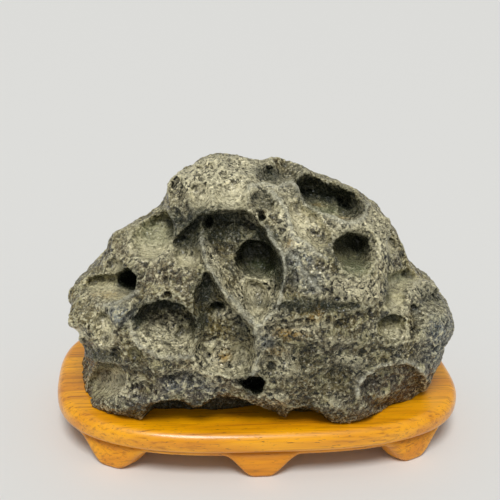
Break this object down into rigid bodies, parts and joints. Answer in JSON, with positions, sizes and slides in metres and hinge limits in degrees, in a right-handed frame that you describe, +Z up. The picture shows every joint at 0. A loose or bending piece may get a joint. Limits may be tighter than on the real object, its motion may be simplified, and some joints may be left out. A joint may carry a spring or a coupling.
{
  "type": "scholar's rock on a wooden stand",
  "caption": "Dark pitted limestone viewing rock with deep worn hollows and thin ridges, resting on an oval varnished wooden stand with scalloped bracket feet.",
  "frame": {"origin": "middle of the stand's footprint, on the surface that the feet stand on", "axes": "+Z up, +X along the stand's length towards the rock's low wing, -Y the front"},
  "size_m": [0.24, 0.152, 0.1599],
  "materials": {
    "waxed_limestone": "worn by water and lightly waxed, pale in the scoops and near black under the overhangs",
    "varnished_rosewood": "honey-gold hardwood under a clear gloss varnish, grain along the length"
  },
  "bodies": {
    "root": {"rock": "waxed_limestone", "stand_board": "varnished_rosewood", "stand_apron": "varnished_rosewood"}
  },
  "joints": []
}
